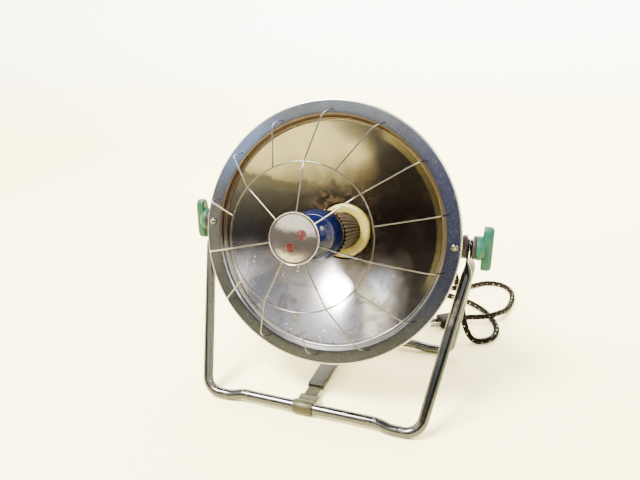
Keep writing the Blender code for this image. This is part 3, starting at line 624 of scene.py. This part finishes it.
def cord_route():
    """Down from the cover to the floor, through the coil, and round the loop to the plug."""
    ahead = Vector((0, PIVOT.y, 0))
    mouth = DISH @ Vector((BUSH_END + GAP, 0, BUSH_BACK)) - ahead
    z, over = ON_FLOOR, OVER_CORD
    falling = [
        mouth, (0.0920, mouth.y + 0.0010, mouth.z - 0.0015), (0.1090, 0.0900, 0.1610),
        (0.1235, 0.1050, 0.1380), (0.1330, 0.1180, 0.1110), (0.1395, 0.1280, 0.0830),
        (0.1455, 0.1350, 0.0560), (0.1495, 0.1385, 0.0360), (0.1545, 0.1385, 0.0195),
        (0.1620, 0.1365, 0.0085), (0.1710, 0.1370, z), (0.1800, 0.1410, z), (0.1875, 0.1485, z),
        (0.1925, 0.1590, z), (0.1950, 0.1730, z), (0.1940, 0.1900, z), (0.1875, 0.2130, z),
        (0.1740, 0.2380, z), (0.1530, 0.2600, z), (0.1240, 0.2760, z), (0.0920, 0.2790, z),
        (0.0620, 0.2710, z), (0.0370, 0.2590, z),
    ]
    rising = [
        (0.0430, 0.2070, 0.0122), (0.0432, 0.2260, 0.0126), (0.0446, 0.2460, over),
        (0.0500, 0.2680, over), (0.0630, 0.2900, 0.0100), (0.0840, 0.3040, 0.0056),
        (0.1120, 0.3110, z), (0.1370, 0.3200, z), (0.1540, 0.3380, z), (0.1700, 0.3520, z),
        (0.1880, 0.3550, z), (0.2040, 0.3450, z), (0.2130, 0.3250, z), (0.2145, 0.2980, z),
        (0.2110, 0.2700, z), (0.2050, 0.2450, 0.0070), (0.1970, 0.2240, 0.0118),
        (0.1860, 0.2090, over), (0.1710, 0.2020, 0.0110),
    ]
    heading = Vector((math.cos(HEADING), math.sin(HEADING), 0))
    ending = [PLUG - heading * 0.034, PLUG - heading * (NECK_END + GAP)]
    route = smooth_route(falling + coil_route() + rising + ending, 0.0032)
    return [p + ahead for p in route]


def build_plug():
    """A plain two-pin plug that lies on the floor."""
    turn = Matrix.Rotation(HEADING, 4, "Z")
    place = GROUND @ Matrix.Translation(PLUG) @ turn
    body = rounded_box("plug", (PLUG_LENGTH, 0.024, 0.0156), 0.0038, place, 4)
    neck = [(0, -0.010), (0.0074, -0.010)]
    for k in range(5):  # a ribbed neck
        start = -0.0115 - 0.0013 * k
        wide = 0.0072 - 0.0002 * k
        neck += [(wide, start), (wide - 0.0008, start - 0.0003), (wide - 0.0008, start - 0.0009)]
    neck += [(0.0060, -0.0178), (0.0056, -NECK_END), (0, -NECK_END)]
    neck = lathe("plug_neck", neck, place @ QUARTER_TURN, 40)
    screw = [(0, 0.0079), (0.0018, 0.0080), (0.0021, 0.0076), (0.0021, 0.006), (0, 0.006)]
    screw = lathe("plug_screw", screw, place, 20)
    piece(join(body, neck, screw), "stand", RUBBER, "bakelite", "plug_body")
    for word, side in (("left", -1), ("right", 1)):
        spot = place @ Matrix.Translation((PLUG_LENGTH / 2 + GAP + PIN_LENGTH / 2, side * 0.00635, 0))
        pin = rounded_box(f"plug_{word}_pin", (PIN_LENGTH, 0.0015, 0.0063), 0.0004, spot)
        piece(pin, "stand", DULL, "brass", f"plug_pin_{word}")


def build_cord():
    """One cord from the bush to the plug."""
    path = cord_route()
    along = [0.0]
    for a, b in zip(path, path[1:]):
        along.append(along[-1] + (b - a).length)
    rings = tube_rings(path, CORD_RADIUS, 16)
    cord = skin("cord", rings, Matrix.Identity(4), smooth=80, along=along)
    piece(cord, None, BRAID, "braid", "cord_from_lamp", "cord_coil", "cord_to_plug")
    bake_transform(cord)


build_plug()
build_cord()


# ---- the dish ----
def build_reflector():
    """A parabolic bowl with a flange and a thin bead at its rim."""
    rim, hole, apex, focus = 0.1290, 0.0362, 0.0799, 0.060
    radii = [rim + (hole - rim) * k / 56 for k in range(57)]
    inner = [(r, r * r / (4 * focus) - apex) for r in radii]
    outer = [(r + 0.0011, z - 0.0006) for r, z in inner]
    front = [(0.1458, -0.0020), (0.1458, -0.0030), (0.1340, -0.0030), (0.1340, -0.0102)]
    bead = arc(0.1305, -0.0098, 0.0013, 190, 20, 8) + [(0.1325, -0.0092), (0.1330, -0.0086)]
    profile = front + outer + inner[::-1] + bead + [(0.1330, -0.0032), (0.1342, -0.0020)]
    bowl = lathe("bowl", profile, DISH, DISH_SEGMENTS, smooth=30)
    piece(bowl, "lamp_head", MIRROR, "mirror", "reflector_bowl")


def build_band():
    """A flat ring with a short rolled skirt, over the bowl's rim."""
    profile = arc(0.1488, -0.0012, 0.0012, 90, 0, 5) + [(0.1498, -0.0030), (0.1498, -0.0060)]
    profile += arc(0.1493, -0.0073, 0.0007, 60, -120, 6)
    profile += [(0.1486, -0.0064), (0.1486, -0.0022), (0.1478, -0.0010), (0.1345, -0.0010), (0.1340, -0.0006)]
    profile += [(0.1343, -0.0001), (0.1350, 0), (0.1380, 0.00005), (0.1470, 0)]
    band = lathe("band", profile, DISH, DISH_SEGMENTS, smooth=35)
    piece(band, "lamp_head", BAND, "band_chrome", "front_band")


def build_guard():
    """Fourteen wires from the band over the ring, every second one on to the disc, each a little bowed."""
    random.seed(4)
    wires, first, soft, most_bow = 14, math.radians(14.2), 0.011, 0.0007
    for k in range(wires):
        angle = first + k * math.tau / wires
        long = k % 2 == 1
        foot, bend = Vector((0.1382, -0.0018)), Vector((0.1285, 0.038))
        outside = 0 if long else 1.4 * GUARD_WIRE
        above = 2.3 * GUARD_WIRE if long else 0
        ring = Vector((GUARD_RING_RADIUS + outside, GUARD_RING_AHEAD + above))
        rise, run = (foot - bend).normalized(), (ring - bend).normalized()
        path = [foot, foot + Vector((-0.0002, 0.0068))]
        before, after = bend + soft * rise, bend + soft * run
        path += [before.lerp(bend, t / 8).lerp(bend.lerp(after, t / 8), t / 8) for t in range(9)]
        path += [after.lerp(ring, t / 5) for t in range(1, 6)]
        if long:
            end = Vector((0.0222, 0.0963))
            path += [ring.lerp(end, t / 5) for t in range(1, 6)]
        bow = random.uniform(-most_bow, most_bow)
        across, up = math.cos(angle), math.sin(angle)
        points = []
        for i, (r, z) in enumerate(path):
            t = i / (len(path) - 1)
            off = bow * math.sin(math.pi * t)
            points.append((r * across - off * up, r * up + off * across, z))
        name = f"{'long' if long else 'short'}_wire_{k // 2 + 1}"
        made = skin(name, tube_rings(points, GUARD_WIRE, WIRE_SIDES), DISH)
        piece(made, "lamp_head", CHROME, "chrome", "guard_" + name)
    r = GUARD_RING_RADIUS
    angles = [k * math.tau / 144 for k in range(144)]
    circle = [(r * math.cos(a), r * math.sin(a), GUARD_RING_AHEAD) for a in angles]
    ring = skin("ring", tube_rings(circle, GUARD_WIRE, WIRE_SIDES, closed=True), DISH, closed=True)
    piece(ring, "lamp_head", CHROME, "chrome", "guard_ring")
    low = 0.0981
    dome = [(0, 0.1019), (0.006, 0.1018), (0.012, 0.1013), (0.018, 0.1003), (0.0225, 0.0992)]
    dome += [(0.0247, 0.0988)] + arc(0.0250, 0.0984, 0.0009, 60, -60, 6) + [(0.0245, low), (0, low)]
    disc = lathe("disc", dome, DISH, 128, closed=False)
    piece(disc, "lamp_head", make_disc(), "chrome", "guard_disc")


def make_disc():
    """Polished, with a painted darker, browner reflection low down, and two worn red marks."""
    f = Finish("disc_steel", (0.40, 0.385, 0.39), 0.13, 1.0, space="Dish")
    f.vary(f.noise(90, 5), 0.20)
    # Painted reflection: darker and browner low down.
    f.paint(f.times(f.near((0.004, -0.014, 0.100), 0.006, 0.024), 0.7), (0.26, 0.22, 0.20), 0.20)
    f.paint(f.times(f.ramp(f.noise(120, 6, 0.7), 0.54, 0.70), 0.3), (0.12, 0.10, 0.08), 0.4)
    for spot in ((0.0085, 0.0045, 0.1016), (-0.0015, -0.0085, 0.1018)):
        mark = f.times(f.near(spot, 0.0044, 0.0060), f.ramp(f.noise(230, 4), 0.36, 0.46))
        f.paint(f.times(mark, 0.90), (0.085, 0.003, 0.004), 0.4)
    f.relief(f.noise(60, 3), 0.0003)
    return f.done()


def build_heat_source():
    """The porcelain collar, the bulb and the sleeve round its neck."""
    profile = arc(0.0295, -0.0750, 0.0045, 90, 0, 8) + [(0.0340, -0.0840), (0.0215, -0.0840)]
    profile += arc(0.0245, -0.0735, 0.0030, 180, 90, 6)
    piece(lathe("collar", profile, DISH), "lamp_head", PORCELAIN, "porcelain", "porcelain_collar")
    outside = [(0.0278, 0.0100), (0.0270, 0.0020), (0.0250, -0.0220), (0.0228, -0.0480), (0.0208, -0.0700)]
    inside = [(r - 0.0014, z) for r, z in outside]
    mouth = [(0.0271, 0.0106)]
    sleeve = lathe("sleeve", outside + [(0.0206, -0.0765), (0.0192, -0.0765)] + inside[::-1] + mouth, DISH)
    piece(sleeve, "lamp_head", SLEEVE, "sleeve", "neck_sleeve")
    radius, shoulder, crown, glass = 0.0285, 0.034, 0.031, 0.0009
    angles = [math.pi / 2 * (1 - k / 20) for k in range(21)]
    outline = [(radius * math.cos(a), shoulder + crown * math.sin(a)) for a in angles]
    outline += [(0.0281, 0.026), (0.0272, 0.019), (0.0262, 0.013), (0.0228, -0.010), (0.0180, -0.040)]
    outline += [(0.0142, -0.066), (0.0128, -0.078)]
    outline[0] = (0, outline[0][1])
    inside = [(max(0.0, r - glass), z - (glass if r < 0.0256 and z > 0.04 else 0)) for r, z in outline]
    bulb = lathe("bulb", outline + inside[::-1], DISH, closed=False)
    piece(bulb, "lamp_head", BULB, "blue_glass", "bulb_glass")


def build_rear():
    """The cover behind the bowl with its six vents, and the ribbed bush that the cord leaves by."""
    edge, front, back = 0.0475, -0.0716, -0.1290
    profile = arc(edge + 0.0015, front - 0.0011, 0.0005, 90, -90, 4) + [(edge, front - 0.0026)]
    profile += [(edge, -0.0900), (edge - 0.0006, -0.0908), (edge - 0.0006, -0.0930), (edge, -0.0938)]
    profile += arc(edge - 0.010, back + 0.010, 0.010, 0, -90, 10)
    profile += [(0.020, back + 0.0004), (0.018, back), (0, back)]
    profile += [(0, back + 0.001), (0.019, back + 0.001)] + arc(edge - 0.010, back + 0.010, 0.009, -90, 0, 10)
    profile += [(edge - 0.001, front - 0.0022), (edge + 0.0002, front - 0.0006)]
    cover = lathe("cover", profile, DISH, 112)
    vent = [(0, 0.006), (0.0034, 0.006), (0.0034, -0.006), (0, -0.006)]
    for k in range(6):
        angle = math.radians(60 * k + 24)
        place = DISH @ Matrix.Rotation(angle, 4, "Z") @ Matrix.Translation((0.046, 0, -0.084))
        cut(cover, lathe("vent", vent, place @ QUARTER_TURN, 24))
    piece(cover, "lamp_head", DULL, "steel", "rear_cover")
    place = DISH @ Matrix.Translation((0, 0, BUSH_BACK)) @ QUARTER_TURN
    bush = [(0.0041, BUSH_END), (0.0050, 0.0778), (0.0055, 0.0700)]
    for k in range(5):  # ribs
        start = 0.0685 - 0.0025 * k
        wide = 0.0056 + 0.0003 * k
        bush += [(wide + 0.0003, start), (wide + 0.0004, start - 0.0012), (wide - 0.0003, start - 0.0014),
                 (wide - 0.0003, start - 0.0023)]
    bush += [(0.0068, 0.0560), (0.0082, 0.0512), (0.0084, 0.0506), (0.0084, 0.0484), (0.0056, 0.0482)]
    bush += [(0.0056, 0.0460), (0.0076, 0.0445), (0.0076, 0.0420), (0.0041, 0.0420)]
    piece(lathe("bush", bush, place, 48), "lamp_head", FIBRE, "fibre", "cord_bush")


def cut(target, tool):
    """Takes the tool's shape out of the target, and applies it."""
    change = target.modifiers.new("cut", "BOOLEAN")
    change.operation = "DIFFERENCE"
    change.solver = "EXACT"
    change.object = tool
    bpy.context.view_layer.update()
    dg = bpy.context.evaluated_depsgraph_get()
    mesh = bpy.data.meshes.new_from_object(target.evaluated_get(dg))
    target.modifiers.remove(change)
    target.data = mesh
    bpy.data.objects.remove(tool, do_unlink=True)


# ---- the pivots ----
def build_knob(word, side, turn):
    """A round hub under a wing with a waist and soft edges, and a brass insert."""
    finish = GREEN_RIGHT if side > 0 else GREEN_LEFT
    hub = [(0.0068, 0.1636)] + arc(0.0125, 0.1646, 0.0010, -90, 0, 4) + [(0.0135, 0.1688), (0.0128, 0.1700)]
    hub += [(0.0100, 0.1730), (0, 0.1730), (0, 0.1690), (0.0068, 0.1690)]
    hub = lathe("hub", hub, turn, 64)
    rings = []
    start, end, soft = 0.1694, 0.1806, 0.0042
    half_long, half_wide = 0.025, 0.0075
    waist_depth, waist_reach = 0.13, 0.010
    levels = [(start, 0.003), (start, 0.0012), (start + 0.0006, 0.0003), (start + 0.0016, 0)]
    angles = [math.pi / 2 * k / 6 for k in range(7)]
    levels += [(end - soft + soft * math.sin(a), soft * (1 - math.cos(a))) for a in angles]
    levels += [(end, 0.0060)]
    for height, inset in levels:
        ring = []
        for k in range(96):
            a = k * math.tau / 96
            c, s = math.cos(a), math.sin(a)
            long = math.copysign(abs(c) ** 0.62, c) * (half_long - inset)
            waist = 1 - waist_depth * math.exp(-(long / waist_reach) ** 2)
            wide = math.copysign(abs(s) ** 0.72, s) * (half_wide * waist - inset)
            ring.append((long, wide, height))
        rings.append(ring)
    wing = skin("wing", rings, turn, smooth=60)
    knob = join(hub, wing)
    knob.name = f"{word}_knob"
    piece(knob, f"knob_{word}", finish, "green_plastic", f"knob_{word}")
    low = 0.1640
    cup = [(0.0042, low), (0.0064, low), (0.0064, 0.1755), (0.0042, 0.1755)]
    piece(lathe(f"{word}_insert", cup, turn, 32), f"knob_{word}", BRASS, "brass", f"knob_insert_{word}")


def build_pivot(word, side):
    """What holds the dish on one side: washers, bolt, bracket, band screw and knob."""
    turn = Matrix.Translation(PIVOT) @ Matrix.Rotation(side * math.pi / 2, 4, "Y")
    for name, low, high in (("inner_washer", 0.1483, 0.1532), ("outer_washer", 0.1597, 0.1633)):
        ring = [(0.0044, high), (0.0044, low), (0.0124, low)]
        ring += arc(0.0124, low + 0.0006, 0.0006, -90, 0, 3) + arc(0.0124, high - 0.0006, 0.0006, 0, 90, 3)
        piece(lathe(f"{word}_{name}", ring, turn, 64), "stand", FIBRE, "fibre", f"{name}_{word}")
    bolt = [(0, 0.1414), (0.0050, 0.1420), (0.0078, 0.1432), (0.0088, 0.1448), (0.0088, 0.1459)]
    bolt += [(0.0039, 0.1459), (0.0039, 0.1740), (0.0034, 0.1745), (0, 0.1745)]
    bolt = lathe(f"{word}_bolt", bolt, turn, 40, closed=False)
    piece(bolt, "lamp_head", DULL, "steel", f"pivot_bolt_{word}")
    front, back, middle, outside = FACE_AHEAD - 0.0035, -0.012, 0.1471, 0.1480
    wide, sheet, flange_long = 0.020, 0.0016, 0.0105
    place = HEAD @ Matrix.Translation((side * middle, 0, (front + back) / 2))
    arm = rounded_box(f"{word}_bracket", (0.0018, wide, front - back), 0.0005, place)
    place = HEAD @ Matrix.Translation((side * (outside - flange_long / 2), 0, front - sheet / 2))
    flange = rounded_box("flange", (flange_long, wide, sheet), 0.0005, place)
    piece(join(arm, flange), "lamp_head", DARK, "steel", f"pivot_bracket_{word}")
    screw = [(0, 0.0030), (0.0014, 0.0029), (0.0030, 0.0024), (0.0041, 0.0012), (0.0044, GAP)]
    screw += [(0.0016, GAP), (0.0016, -0.0092), (0, -0.0092)]
    place = DISH @ Matrix.Translation((side * BAND_SCREW_REACH, 0, 0))
    screw = lathe(f"{word}_band_screw", screw, place, 40, closed=False)
    slot_place = DISH @ Matrix.Translation((side * BAND_SCREW_REACH, 0, 0.0030))
    slot_place = slot_place @ Matrix.Rotation(0.6 * side, 4, "Z")
    cut(screw, rounded_box("slot", (0.0100, 0.0009, 0.0016), 0.0001, slot_place))
    piece(screw, "lamp_head", CHROME, "chrome", f"band_screw_{word}")
    build_knob(word, side, turn)


# ---- the stand ----
def fillet(before, corner, after, radius, steps):
    """Points on the arc that rounds a corner."""
    a, b = (before - corner).normalized(), (after - corner).normalized()
    half = math.acos(max(-1.0, min(1.0, a.dot(b)))) / 2
    reach = radius / math.tan(half)
    middle = corner + (a + b).normalized() * radius / math.sin(half)
    start, end = (corner + a * reach - middle).normalized(), (corner + b * reach - middle).normalized()
    return [middle + radius * start.slerp(end, k / steps) for k in range(steps + 1)]


def build_frame(name, body, node, half_foot, eye_at, lean):
    """A bent tube, pressed into flat eyes at its tops and flattened a little where it lies on the floor."""
    top, tube, corner_radius = 0.1616, 0.006, 0.020
    eye, eye_sheet = 0.0096, 0.0014  # half an eye's width and thickness
    press_start, press_length, fully_flat = -0.0093, 0.0433, 0.0120  # down the leg from the pivot
    foot, rise_run = 0.028, 0.022  # along the floor bar: its flat part, and the rise to its middle

    def half_at(below):
        return top + (half_foot - top) * below / LEG

    press = [press_start + press_length * k / 32 for k in range(33)]
    leg = [Vector((half_at(s), 0, -s)) for s in press + [0.060, 0.090, 0.120, 0.150]]
    corner, flat_end = Vector((half_foot, 0, -LEG)), Vector((half_foot - foot, 0, -LEG))
    half = leg + fillet(leg[-1], corner, flat_end, corner_radius, 18)
    for k in range(13):
        t = k / 12
        half.append(flat_end + Vector((-rise_run * t, 0, BAR_RISE * ease(t))))
    half += [half[-1] + Vector((-0.02 * k, 0, 0)) for k in (1, 2, 3)]
    path = half + [Vector((-p.x, 0, p.z)) for p in reversed(half)]
    rings = tube_rings(path, tube, 28)
    place = Matrix.Translation(PIVOT) @ Matrix.Rotation(lean, 4, "X")
    floor = (place.inverted().to_3x3() @ Vector((0, 0, 1))).normalized()
    base = place.inverted() @ Vector((0, 0, 0.00002))
    for ring in rings:
        for v in ring:
            side, below = math.copysign(1, v.x), -v.z
            if below <= press[-1]:
                flat = ease(min(1.0, (press[-1] - below) / (press[-1] - fully_flat)))
                off = abs(v.x) - half_at(below)
                v.x = side * (abs(v.x) * (1 - flat) + (eye_at + off * eye_sheet / tube) * flat)
                wide = eye * math.sqrt(max(0.05, 1 - (min(below, 0) / eye) ** 2))
                v.y *= (1 - flat) + flat * wide / tube
            under = (v - base).dot(floor)
            if under < 0:
                v -= floor * under
    piece(skin(name, rings, place, smooth=60), body, TUBE, "chrome", node)


def build_spreader():
    """A strap on the front frame's tube, and a channel on the rear one's that its tongue slides in."""
    reach = LEG - BAR_RISE
    height = PIVOT.z - reach * math.cos(LEAN)
    front, rear = PIVOT.y - reach * math.sin(LEAN), PIVOT.y + reach * math.sin(LEAN)
    inner, outer = 0.0064, 0.0078

    def at(side, y, up):
        return Matrix.Translation((side - 0.005, y, height + up))

    def sleeve(name, half, y):
        ring = [(inner, half), (inner, -half), (outer - 0.0003, -half), (outer, -half + 0.0004)]
        ring += [(outer, half - 0.0004), (outer - 0.0003, half)]
        return lathe(name, ring, at(0, y, 0) @ QUARTER_TURN, 56)

    def plate(name, size, place):
        return rounded_box(name, size, 0.0004, place)

    strap = sleeve("strap", 0.0115, front)
    leaf = plate("leaf", (0.023, 0.0170, 0.0016), at(0, front + 0.0155, 0))
    tongue = plate("tongue", (0.0158, 0.0640, 0.0016), at(0, front + 0.0540, 0))
    piece(join(strap, leaf, tongue), "spreader_strap", ZINC, "zinc", "spreader_strap")
    start, end = front + 0.042, rear - inner - 0.0006
    channel = sleeve("channel", 0.0098, rear)
    long, middle = end - start, (start + end) / 2
    parts = [plate("roof", (0.0196, long, 0.0012), at(0, middle, 0.0024))]
    for side in (-1, 1):
        parts.append(plate("wall", (0.0012, long, 0.0060), at(side * 0.0092, middle, 0)))
        parts.append(plate("lip", (0.0045, long, 0.0012), at(side * 0.00755, middle, -0.0024)))
    piece(join(channel, *parts), "spreader_channel", DARK, "steel", "spreader_channel")


def finish_inner_nodes():
    """The pieces inside the cover and bulb keep their CAD shapes."""
    finishes = {
        "porcelain": PORCELAIN, "brass": BRASS, "steel": DULL, "tungsten": TUNGSTEN,
        "braid": BRAID, "fibre": FIBRE, "chrome": CHROME, "zinc": ZINC,
    }
    slots = {part["node"]: part["material_slot"] for part in frame["record"]["subparts"]}
    for name, node in NODES.items():
        if not node.hide_render:
            node.data.materials.clear()
            node.data.materials.append(finishes[slots[name]])


build_reflector()
build_band()
build_guard()
build_heat_source()
build_rear()
build_pivot("left", -1)
build_pivot("right", 1)
build_frame("front_stand", "stand", "front_frame", 0.1276, 0.1549, -LEAN)
build_frame("rear_stand", "rear_frame", "rear_frame", 0.1373, 0.1580, LEAN)
build_spreader()
finish_inner_nodes()


# ---- floor and light ----
def build_floor():
    """A pale floor that curves up into a wall all round, painted dark behind the camera: painted shade
    standing for an unlit room, for the metal to reflect.
    """
    flat, bend, rim, top = 1.7, 0.9, 2.6, 3.0
    f = Finish("floor", (0.95, 0.86, 0.46), 0.7)
    _, y, z = f.xyz()
    f.vary(f.noise(3, 4), 0.03)
    f.vary(f.noise(60, 3), 0.012)
    f.paint(f.ramp(z, 0.0, 0.5), (0.96, 0.955, 0.935))
    # Painted shade: floor and low wall behind the camera painted dark, standing for an unlit room that the
    # metal reflects.
    edge = f.math("MULTIPLY_ADD", f.noise(5, 4), 0.16, y)
    dark = f.times(f.ramp(edge, -0.86, -0.80, flip=True), f.ramp(z, 0.80, 1.20, flip=True))
    f.paint(dark, (0.060, 0.052, 0.046), 0.7)
    f.relief(f.noise(9, 3), 0.0012)
    angles = [math.pi / 2 * k / 12 for k in range(13)]
    profile = [(0, 0), (1.2, 0)]
    profile += [(flat + bend * math.sin(a), bend * (1 - math.cos(a))) for a in angles] + [(rim, top)]
    floor = lathe("floor", profile, Matrix.Identity(4), 96, closed=False)
    floor.data.materials.append(f.done())


def area_light(name, spot, aim, size, power, colour):
    data = bpy.data.lights.new(name, "AREA")
    data.shape = "RECTANGLE"
    data.size, data.size_y = size
    data.energy = power
    data.color = colour
    light = bpy.data.objects.new(name, data)
    bpy.context.scene.collection.objects.link(light)
    light.location = spot
    light.rotation_euler = (Vector(aim) - Vector(spot)).to_track_quat("-Z", "Y").to_euler()


def build_light():
    """A pale sky, a large light over the front left, two weak ones, and one on the wall behind."""
    sky_strength = 0.60
    world = bpy.data.worlds.new("world")
    bpy.context.scene.world = world
    world.use_nodes = True
    back = world.node_tree.nodes["Background"]
    back.inputs[0].default_value = (0.95, 0.97, 1.0, 1)
    back.inputs[1].default_value = sky_strength
    lamps = [  # name, spot, what it points at, size, watts, colour
        ("key", (-0.7, -0.9, 1.9), (0, 0, 0.1), (0.8, 0.6), 310, (1.0, 0.97, 0.91)),
        ("window", (-1.6, -0.5, 0.9), (0, 0, 0.2), (0.4, 0.7), 6, (0.50, 0.68, 1.0)),
        ("fill", (1.3, -0.6, 1.6), (0, 0.3, 0), (0.5, 0.5), 30, (1.0, 0.96, 0.90)),
        ("wall", (0, 0.8, 1.7), (0, 2.6, 0.5), (1.6, 0.4), 240, (1.0, 0.99, 0.97)),
    ]
    for lamp in lamps:
        area_light(*lamp)


build_floor()
build_light()
